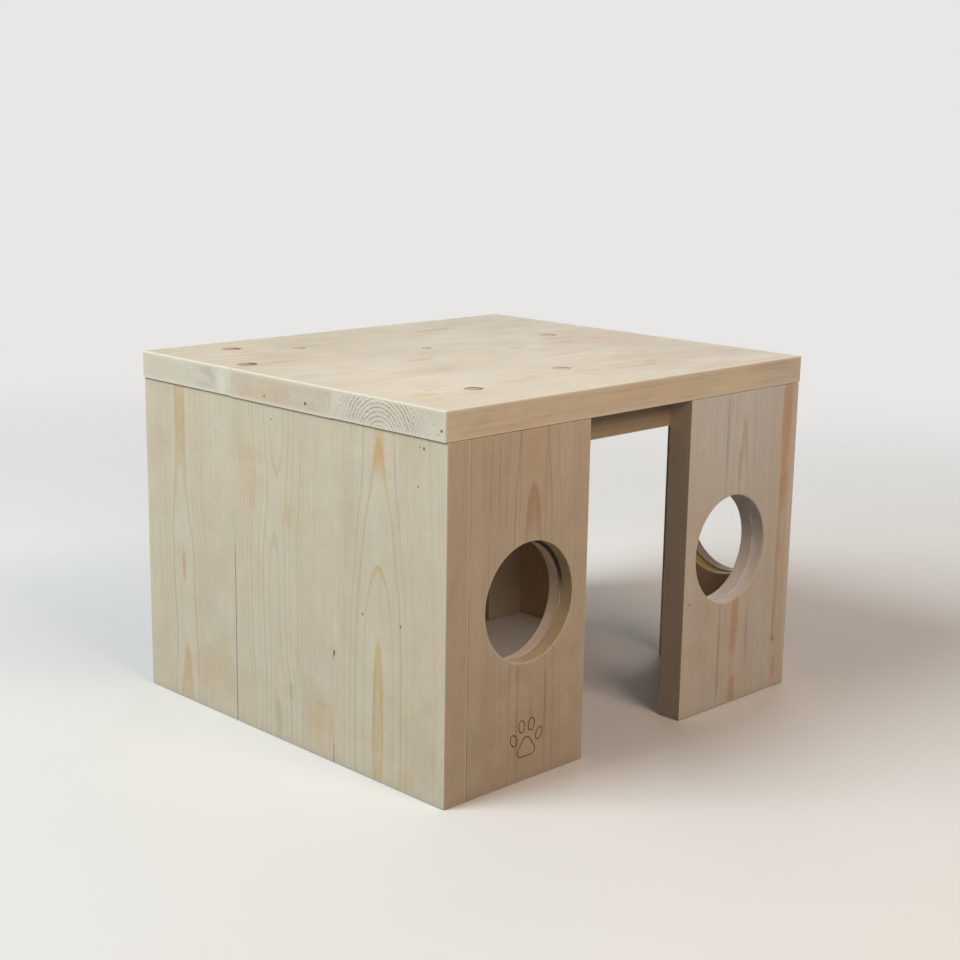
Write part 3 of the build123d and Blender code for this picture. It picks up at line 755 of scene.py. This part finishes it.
            (107, 4, 5.0, 22, RUST, 0.8), (104, 34, 2.6, 30, RUST, 0.45), (90, 185, 1.7, 50, LINE, 0.85),
            (70, 90, 12, 60, TAN, 0.25), (90, 36, 2.0, 46, LINE, 0.8), (120.8, 50, 1.4, 30, LINE, 0.85),
            (104.5, 168, 2.4, 24, RUST, 0.6), (120.5, 180, 1.2, 34, LINE, 0.45),
            (86, 28, 3, 8, GREY, 0.35), (64, 181, 5, 4, GREY, 0.3), (132, 40, 10, 60, PALE, 0.3),
            (108.4, 192, 3.6, 12, OLIVE, 0.8),
        ),
        "dots": (
            on(
                BORE_SIDE, DOT_DEPTH,
                (-141, 117, 0.7, 5.5),
            )
            + on(
                FRONT_FACE, DOT_DEPTH,
                (56.0, 80, 1.0, 0.8),
            )
        ),
    },
    "roof_board_front": ROOF | {
        # Its narrow faces are painted paler, as more light on the roof's front edge.
        "edge_tint": (1.18, 1.18, 1.145, 1), "seed": 31.7, "heart": -94.0, "drift": 2.0, "late": 0.70,
        "arcs": 1.1, "flecks": 0.9, "end_tint": (1.0, 0.975, 0.95, 1),
        "rings": [(0, 0), (27, 10), (60, 24), (110, 50)],
        "deep": [(-172, 24.5), (-132, 24.3), (-110, 22.4), (-85, 21.1), (-60, 22.5), (-42, 24.3),
                 (0, 25.6), (40, 26.8), (80, 27.3), (172, 28.5)],
        "knots": [(-104.0, -105.0, 6.5, 0.95), (-3.0, -83.0, 6.5, 0.7)],
        "clouds": (
            on(
                ROOF_TOP, SHALLOW,
                (-142, -103, 12, 7, ORANGE, 0.75), (-62, -101, 26, 5, TAN, 0.75),
                (-97, -97, 7, 5, PALE, 0.9), (42, -107, 24, 3.5, GREY, 0.8), (-20, -93, 9, 4, PINK, 0.9),
                (103, -107, 13, 4, GREY, 0.7), (68, -98, 10, 4, DUSK, 0.8), (8, -101, 6, 4, DUSK, 0.8),
                (90, -85, 90, 40, PINK, 0.55), (-130, -92, 24, 6, PALE, 0.5),
                (-120, -115, 26, 4, GREY, 0.6), (-150, -118, 12, 4, GREY, 0.5),
                # The large pale clouds on the left and the shade cloud on the right are painted light and
                # painted shade, falling off across the top.
                (-118, -72, 70, 50, PALE, 0.95), (110, -145, 70, 10, PINK, 0.6),
                (130, -95, 90, 90, PAINTED_SHADE, 0.9),
            )
            + on(
                FRONT_FACE, DEEP,
                (-120, 222, 50, 4.5, TAN, 0.5),
            )
            + on(
                ROOF_END, DEEP,
                (-140, 229, 12, 10, PALE, 0.3),
            )
            + on(
                FRONT_FACE, DEEP,
                (-118, 221.0, 60, 0.45, LINE, 0.6), (-132, 223.2, 38, 0.4, LINE, 0.5),
                (-88, 225.2, 34, 0.4, LINE, 0.45), (-140, 227.4, 22, 0.4, LINE, 0.4),
                (0, 229, 62, 14, (1.0, 0.965, 0.97, 1), 0.9), (92, 229, 36, 14, (1.0, 1.0, 0.93, 1), 0.8),
                (160, 229, 28, 16, (0.97, 1.0, 1.09, 1), 1.0),
            )
        ),
        "dots": on(
            ROOF_END, DOT_DEPTH,
            (-146.5, 225.5, 1.4, 1.2),
        ),
    },
    "roof_board_middle": ROOF | {
        "seed": 35.2, "heart": 2.0, "drift": 4.0, "rosy": 0.15, "arcs": 0.08, "flecks": 0.25,
        "end_tint": (0.93, 0.865, 0.81, 1), "late": 0.76, "rings": [(0, 0), (30.6, 9), (60, 20), (110, 46)],
        "deep": [(-172, 31.2), (-68, 30.85), (-47, 30.44), (-28, 30.85), (24, 30.85), (45, 30.42),
                 (66, 30.75), (90, 30.40), (109, 30.7), (128, 30.38), (150, 30.85), (172, 31.3)],
        "knots": [(-10.0, 39.0, 4.2, 0.75), (109.0, 34.0, 6.5, 0.7)], "seams": [(50.0, SEAM_ROOF)],
        "clouds": (
            on(
                ROOF_TOP, SHALLOW,
                (-78, -34, 38, 13, DUSK, 0.55), (-62, -39, 13, 5, RUST, 0.45), (47, -40, 24, 4, GREY, 0.9),
                (-47, 0, 12, 3, GREY, 0.9), (45, 1, 13, 4, GREY, 0.9), (92, 2, 12, 4, GREY, 0.8),
                (128, 0, 10, 3.5, GREY, 0.8), (-150, -3, 14, 4, GREY, 0.6), (82, 24, 14, 6, PALE, 0.9),
                (108, 40, 14, 11, DUSK, 0.7), (130, 0, 60, 60, PINK, 0.6), (150, -30, 20, 12, OLIVE, 0.3),
                # The large shade cloud on the right and pale one on the left are painted shade and painted
                # light, falling off across the top.
                (130, 0, 100, 90, PAINTED_SHADE, 0.9), (-120, -5, 70, 60, PALE, 0.9), (-20, 26, 16, 6, TAN, 0.3),
                (-100, 30, 40, 12, PINK, 0.25),
            )
            + on(
                ROOF_END, DEEP,
                (10, 224, 42, 6, ORANGE, 0.28), (0, 234, 50, 6, PINK, 0.3),
            )
        ),
        "dots": on(
            ROOF_END, DOT_DEPTH,
            (-25.5, 224.6, 1.6, 1.3), (15.2, 223.9, 1.0, 0.9),
        ),
    },
    "roof_board_back": ROOF | {
        "seed": 38.9, "heart": 106.0, "drift": 3.0, "arcs": 0.14, "flecks": 0.15,
        "end_tint": (0.97, 0.95, 0.92, 1), "late": 0.74, "rings": [(0, 0), (27, 9), (60, 22), (110, 48)],
        "deep": [(-172, 29.0), (-60, 28.0), (20, 27.6), (42, 26.95), (58, 26.7), (78, 26.95), (100, 27.8),
                 (172, 30)],
        "knots": [(-118.0, 119.0, 7.0, 0.8), (-151.0, 56.0, 7.0, 1.0), (-79.0, 93.0, 4.5, 0.55)],
        "seams": [(50.0, SEAM_ROOF)],
        "clouds": (
            on(
                ROOF_TOP, SHALLOW,
                (-104, 68, 26, 18, DUSK, 0.5), (-73, 102, 22, 12, DUSK, 0.55), (58, 105, 25, 8, DUSK, 0.8),
                (69, 108, 9, 5, PINK, 0.9), (-135, 51, 32, 2.5, DUSK, 0.9), (-25, 112, 30, 8, GREY, 0.35),
                (135, 90, 34, 14, PINK, 0.5), (-120, 92, 22, 12, TAN, 0.5), (-60, 62, 30, 4, GREY, 0.35),
                # The large shade cloud on the right and pale one on the left are painted shade and painted
                # light, falling off across the top.
                (20, 75, 60, 26, PALE, 0.25), (130, 95, 90, 90, PAINTED_SHADE, 0.9), (-130, 110, 60, 50, PALE, 0.7),
            )
            + on(
                ROOF_END, DEEP,
                (60, 227, 6, 16, PALE, 1.0), (77, 233, 9, 4, GREY, 0.9), (70, 229, 5, 3.5, GREY, 0.8),
                (83, 223.5, 10, 2.5, GREY, 0.6),
            )
        ),
    },
    "front_rail": SOFTWOOD | {
        "grain": X, "width": Z, "out": Y, "side": -1, "seed": 41.3, "rings": growth(1.7), "heart": 190.0,
        # The front rail is darker partly as its own tone and partly as painted shade under the roof's edge.
        "deep": 8.0, "contrast": 1.9, "rosy": 0.7, "shade": 0.66, "late": 0.66,
        "own_tint": (1.05, 0.98, 0.87, 1), "late_colour": (0.40, 0.25, 0.12, 1),
    },
    "back_rail": SOFTWOOD | {
        "grain": X, "width": Z, "out": Y, "side": 1, "seed": 44.6, "rings": growth(2.6), "heart": 228.0,
        "deep": 26.0, "rosy": 0.3,
    },
    "left_rail": SOFTWOOD | {
        "grain": Y, "width": Z, "out": X, "side": -1, "seed": 47.0, "rings": growth(2.2), "heart": 186.0,
        "deep": 34.0, "rosy": 0.3,
    },
    "right_rail": SOFTWOOD | {
        "grain": Y, "width": Z, "out": X, "side": 1, "seed": 50.5, "rings": growth(2.9), "heart": 232.0,
        "deep": 22.0, "rosy": 0.4,
    },
    "rear_left_post": SOFTWOOD | {
        "grain": Z, "width": Y, "out": X, "side": 1, "seed": 53.9, "rings": growth(2.8), "heart": 86.0,
        "deep": 44.0, "stands": True, "rosy": 0.3,
    },
    "rear_right_post": SOFTWOOD | {
        "grain": Z, "width": Y, "out": X, "side": -1, "seed": 57.2, "rings": growth(3.1), "heart": 84.0,
        "deep": 50.0, "stands": True, "rosy": 0.4,
    },
    "roof_batten_left": SOFTWOOD | {
        "grain": Y, "width": X, "out": Z, "side": -1, "seed": 60.8, "rings": growth(2.3), "heart": -104.0,
        "deep": 31.0, "rosy": 0.3,
    },
    "roof_batten_right": SOFTWOOD | {
        "grain": Y, "width": X, "out": Z, "side": -1, "seed": 64.3, "rings": growth(2.7), "heart": 140.0,
        "deep": 27.0, "rosy": 0.3,
    },
}


def dowel_beech():
    """Turned beech: short darker flecks in an even, warm ground, with fine lines left by the lathe."""
    material = bpy.data.materials.new("dowel_beech")
    s = Shader(material)
    place = s.place_in_mm()
    cloud = s.noise(place, 0.4, 3.0)
    fleck = s.step(s.noise(place, 2.2), 0.58, 0.66)
    colour = s.mix(cloud, (0.47, 0.29, 0.155, 1), (0.58, 0.39, 0.225, 1))
    colour = s.mix(fleck * 0.5, colour, (0.33, 0.17, 0.08, 1))
    turned = s.bump(0.5, 0.1 / MM, s.noise(place, 5.0))
    s.principled({"Base Color": colour, "Roughness": 0.5 + cloud * 0.15, "Normal": turned})
    return material


def screw_zinc():
    """Zinc-plated steel: pale, faintly yellow metal with clouded plating, fine scratches and dull specks."""
    material = bpy.data.materials.new("screw_zinc")
    s = Shader(material)
    place = s.place_in_mm()
    cloud = s.noise(place, 0.9, 3.0)
    scratch = s.step(s.noise(place, 4.0, 3.0, 0.7), 0.55, 0.70)
    speck = s.step(s.noise(place, 1.7, 1.0), 0.68, 0.76)
    colour = s.mix(cloud, (0.50, 0.47, 0.38, 1), (0.66, 0.64, 0.57, 1))
    colour = s.mix(speck, colour, (0.20, 0.17, 0.13, 1))
    rough = 0.28 + cloud * 0.15 + scratch * 0.12 + speck * 0.3
    s.principled({"Base Color": colour, "Metallic": 1.0 - speck * 0.6, "Roughness": rough,
                  "Normal": s.bump(0.4, 0.05 / MM, scratch)})
    return material


def dress(node_name, material):
    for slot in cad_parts[node_name].material_slots:
        slot.material = material


for node_name, board in BOARDS.items():
    dress(node_name, Softwood(node_name, board).material)

beech = dowel_beech()
zinc = screw_zinc()
for node_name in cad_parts:
    if node_name.endswith("_dowels"):
        dress(node_name, beech)
    if node_name.endswith("_screws"):
        dress(node_name, zinc)

# Stage, in metres: a pale floor that fades out into a pale background.
BACKDROP = (0.80, 0.795, 0.78, 1)
FLOOR_NEAR = (0.772, 0.775, 0.774, 1)
FLOOR_FAR = (0.97, 0.97, 0.96, 1)
FLOOR_TO_LIGHT = (0.12, 0.109, 0.099, 1)
PALER_FROM, PALEST_AT = 0.03, 0.42  # towards the back right
CLEAR_FROM, CLEAR_AT = 0.45, 1.5  # from the house's middle
TO_BACK_RIGHT = (0.703, 0.711, 0.0)
FLOOR_SIZE = 6.0
FLOOR_DROP = 0.0003
ROOM_LIGHT = (0.175, 0.155, 0.14, 1)


def pale_floor():
    """A matt floor, paler to the back and far darker to the light it bounces, which turns clear far away."""
    material = bpy.data.materials.new("pale_floor")
    s = Shader(material)
    place = s.object_place()
    cloud = s.noise(place, 9.0, 4.0)
    seen = s.node("LightPath", output="Is Camera Ray")
    glossy = s.node("LightPath", output="Is Glossy Ray")
    back = s.node("VectorMath", {"operation": "DOT_PRODUCT"}, {0: place, 1: TO_BACK_RIGHT}, output="Value")
    pale = s.mix(s.step(back, PALER_FROM, PALEST_AT), FLOOR_NEAR, FLOOR_FAR)
    colour = s.mix(seen.math("MAXIMUM", glossy), FLOOR_TO_LIGHT, pale)
    colour = s.dim(colour, 0.985 + cloud * 0.03)
    matt = s.node("BsdfPrincipled", None, {"Base Color": colour, "Roughness": 0.8, "Specular IOR Level": 0.2,
                                           "Normal": s.bump(0.2, 0.0002, s.noise(place, 700.0, 3.0))})
    clear = s.node("BsdfTransparent")
    gone = s.step(s.length(place), CLEAR_FROM, CLEAR_AT)
    s.node("OutputMaterial", None, {"Surface": s.node("MixShader", None, {0: gone, 1: matt, 2: clear})})
    return material


floor_mesh = bpy.data.meshes.new("floor")
half = FLOOR_SIZE / 2
corners = [(-half, -half), (half, -half), (half, half), (-half, half)]
floor_mesh.from_pydata([(x, y, -FLOOR_DROP) for x, y in corners], [], [(0, 1, 2, 3)])
floor = bpy.data.objects.new("floor", floor_mesh)
bpy.context.scene.collection.objects.link(floor)
floor_mesh.materials.append(pale_floor())

# Light: a dim, slightly warm room, a large white lamp above the left side, weaker ones for other sides.
world = bpy.data.worlds.new("room")
bpy.context.scene.world = world
room = Shader(world)
seen = room.node("LightPath", output="Is Camera Ray")
glossy = room.node("LightPath", output="Is Glossy Ray")
through = room.node("LightPath", output="Is Transmission Ray")
air = room.mix(seen.math("MAXIMUM", glossy).math("MAXIMUM", through), ROOM_LIGHT, BACKDROP)
room.node("OutputWorld", None, {"Surface": room.node("Background", None, {"Color": air, "Strength": 1.0})})

HOUSE_MIDDLE = (0, 0, 0.12)


def add(name, content, place, turn):
    """Puts a lamp or a camera in the scene, at place, in metres, and turned by a matrix."""
    carrier = bpy.data.objects.new(name, content)
    carrier.matrix_world = Matrix.Translation(place) @ turn.to_4x4()
    bpy.context.scene.collection.objects.link(carrier)
    return carrier


def lamp(name, place, size, power, colour):
    """A square area lamp that faces the middle of the house."""
    light = bpy.data.lights.new(name, "AREA")
    light.shape = "SQUARE"
    light.size = size
    light.energy = power
    light.color = colour
    away = Vector(place) - Vector(HOUSE_MIDDLE)
    add(name, light, place, away.to_track_quat("Z", "Y").to_matrix())


lamp("key_left", (-1.55, 0.5, 1.5), 1.1, 39.5, (0.91, 1.0, 1.02))
lamp("fill_front", (-0.15, -1.15, 0.94), 0.6, 8.2, (1.0, 0.76, 0.58))
lamp("fill_rear_right", (1.9, 1.2, 0.44), 1.4, 15.0, (0.95, 0.97, 1.0))

# Camera, placed in millimetres and degrees.
CAMERA_PLACE = (-800.55, -814.92, 402.73)
CAMERA_TURN = 44.7137
CAMERA_DOWN = 12.5556
CAMERA_ROLL = 0.9241
CAMERA_LENS = 62.988
CAMERA_SENSOR = 36.0
NEAREST_SEEN = 0.01

turn, down, roll = (math.radians(v) for v in (CAMERA_TURN, CAMERA_DOWN, CAMERA_ROLL))
ahead = Vector((math.sin(turn) * math.cos(down), math.cos(turn) * math.cos(down), -math.sin(down)))
level = Vector((math.cos(turn), -math.sin(turn), 0.0))
upward = level.cross(ahead)
sideways = math.cos(roll) * level + math.sin(roll) * upward
overhead = -math.sin(roll) * level + math.cos(roll) * upward

view = bpy.data.cameras.new("view")
view.lens = CAMERA_LENS
view.sensor_width = CAMERA_SENSOR
view.clip_start = NEAREST_SEEN
camera_turn = Matrix((sideways, overhead, -ahead)).transposed()
bpy.context.scene.camera = add("view", view, Vector(CAMERA_PLACE) / MM, camera_turn)
bpy.context.scene.view_settings.view_transform = "Standard"
